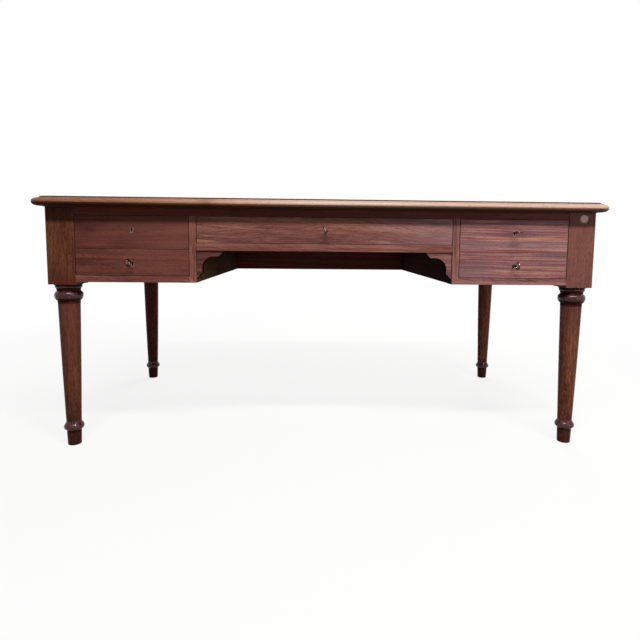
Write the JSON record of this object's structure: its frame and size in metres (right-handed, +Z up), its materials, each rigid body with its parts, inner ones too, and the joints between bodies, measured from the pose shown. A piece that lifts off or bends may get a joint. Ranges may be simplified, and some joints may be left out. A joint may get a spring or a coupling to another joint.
{
  "type": "flat desk",
  "caption": "Flat writing desk with a moulded top, locking drawers round a bracketed kneehole, and square posts that end in turned, tapered legs.",
  "frame": {"origin": "on the floor under the middle of the whole desk, keys included", "axes": "+X to the right along the desk, -Y towards the sitter and the drawer fronts, +Z up"},
  "size_m": [1.716, 0.942, 0.76],
  "materials": {
    "top_walnut": "worn wax over red-brown hardwood, lighter along the moulding",
    "case_walnut": "waxed red-brown hardwood with a soft sheen",
    "turned_walnut": "waxed hardwood, darker and glossier on the turned rings",
    "drawer_walnut": "waxed striped hardwood, grain along the front",
    "inner_oak": "bare planed oak, darkened with age",
    "lock_steel": "dull grey steel with a worn pinkish cast",
    "key_steel": "handled steel, dark with bright edges",
    "disc_metal": "thin tarnished pinkish-grey disc, blank"
  },
  "bodies": {
    "root": {"desk_top": "top_walnut", "front_top_rail": "case_walnut", "centre_rail": "case_walnut", "back_panel": "case_walnut", "leg_front_left": "turned_walnut", "leg_front_right": "turned_walnut", "leg_back_left": "turned_walnut", "leg_back_right": "turned_walnut", "lower_rail_left": "case_walnut", "lower_rail_right": "case_walnut", "blade_left": "case_walnut", "blade_right": "case_walnut", "divider_left": "case_walnut", "divider_right": "case_walnut", "side_panel_left": "case_walnut", "side_panel_right": "case_walnut", "partition_left": "case_walnut", "partition_right": "case_walnut", "bracket_left": "case_walnut", "bracket_right": "case_walnut", "drawer_runners": "inner_oak", "drawer_guides": "inner_oak", "drawer_kickers": "inner_oak", "drawer_stops": "inner_oak", "post_disc": "disc_metal"},
    "left_upper_drawer": {"left_upper_front": "drawer_walnut", "left_upper_sides": "inner_oak", "left_upper_back": "inner_oak", "left_upper_bottom": "inner_oak", "left_upper_lock": "lock_steel"},
    "left_lower_drawer": {"left_lower_front": "drawer_walnut", "left_lower_sides": "inner_oak", "left_lower_back": "inner_oak", "left_lower_bottom": "inner_oak", "left_lower_lock": "lock_steel"},
    "centre_drawer": {"centre_front": "drawer_walnut", "centre_sides": "inner_oak", "centre_back": "inner_oak", "centre_bottom": "inner_oak", "centre_lock": "lock_steel"},
    "right_upper_drawer": {"right_upper_front": "drawer_walnut", "right_upper_sides": "inner_oak", "right_upper_back": "inner_oak", "right_upper_bottom": "inner_oak", "right_upper_lock": "lock_steel"},
    "right_lower_drawer": {"right_lower_front": "drawer_walnut", "right_lower_sides": "inner_oak", "right_lower_back": "inner_oak", "right_lower_bottom": "inner_oak", "right_lower_lock": "lock_steel"},
    "left_lower_turnkey": {"left_lower_key": "key_steel"},
    "left_lower_lockbolt": {"left_lower_bolt": "lock_steel"},
    "centre_turnkey": {"centre_key": "key_steel"},
    "centre_lockbolt": {"centre_bolt": "lock_steel"},
    "right_upper_turnkey": {"right_upper_key": "key_steel"},
    "right_upper_lockbolt": {"right_upper_bolt": "lock_steel"},
    "right_lower_turnkey": {"right_lower_key": "key_steel"},
    "right_lower_lockbolt": {"right_lower_bolt": "lock_steel"}
  },
  "joints": [
    {"name": "left_upper_drawer_slide", "type": "slide", "parent": "root", "child": "left_upper_drawer", "axis": [0, -1, 0], "range_m": [0, 0.48]},
    {"name": "left_lower_drawer_slide", "type": "slide", "parent": "root", "child": "left_lower_drawer", "axis": [0, -1, 0], "range_m": [0, 0.48]},
    {"name": "centre_drawer_slide", "type": "slide", "parent": "root", "child": "centre_drawer", "axis": [0, -1, 0], "range_m": [0, 0.48]},
    {"name": "right_upper_drawer_slide", "type": "slide", "parent": "root", "child": "right_upper_drawer", "axis": [0, -1, 0], "range_m": [0, 0.48]},
    {"name": "right_lower_drawer_slide", "type": "slide", "parent": "root", "child": "right_lower_drawer", "axis": [0, -1, 0], "range_m": [0, 0.48]},
    {"name": "left_lower_key_turn", "type": "hinge", "parent": "left_lower_drawer", "child": "left_lower_turnkey", "pos_m": [-0.571, -0.423, 0.5691], "axis": [0, 1, 0], "range_deg": [0, 180]},
    {"name": "left_lower_bolt_throw", "type": "slide", "parent": "left_lower_drawer", "child": "left_lower_lockbolt", "axis": [0, 0, 1], "range_m": [0, 0.008]},
    {"name": "centre_key_turn", "type": "hinge", "parent": "centre_drawer", "child": "centre_turnkey", "pos_m": [0, -0.423, 0.6687], "axis": [0, 1, 0], "range_deg": [0, 180]},
    {"name": "centre_bolt_throw", "type": "slide", "parent": "centre_drawer", "child": "centre_lockbolt", "axis": [0, 0, 1], "range_m": [0, 0.008]},
    {"name": "right_upper_key_turn", "type": "hinge", "parent": "right_upper_drawer", "child": "right_upper_turnkey", "pos_m": [0.571, -0.423, 0.6687], "axis": [0, 1, 0], "range_deg": [0, 90]},
    {"name": "right_upper_bolt_throw", "type": "slide", "parent": "right_upper_drawer", "child": "right_upper_lockbolt", "axis": [0, 0, 1], "range_m": [0, 0.008]},
    {"name": "right_lower_key_turn", "type": "hinge", "parent": "right_lower_drawer", "child": "right_lower_turnkey", "pos_m": [0.571, -0.423, 0.5691], "axis": [0, 1, 0], "range_deg": [0, 180]},
    {"name": "right_lower_bolt_throw", "type": "slide", "parent": "right_lower_drawer", "child": "right_lower_lockbolt", "axis": [0, 0, 1], "range_m": [0, 0.008]}
  ],
  "couplings": [
    {"joint": "left_lower_bolt_throw", "follows": "left_lower_key_turn", "m_per_rad": 0.00254},
    {"joint": "centre_bolt_throw", "follows": "centre_key_turn", "m_per_rad": 0.00254},
    {"joint": "right_upper_bolt_throw", "follows": "right_upper_key_turn", "m_per_rad": 0.00509},
    {"joint": "right_lower_bolt_throw", "follows": "right_lower_key_turn", "m_per_rad": 0.00254}
  ]
}
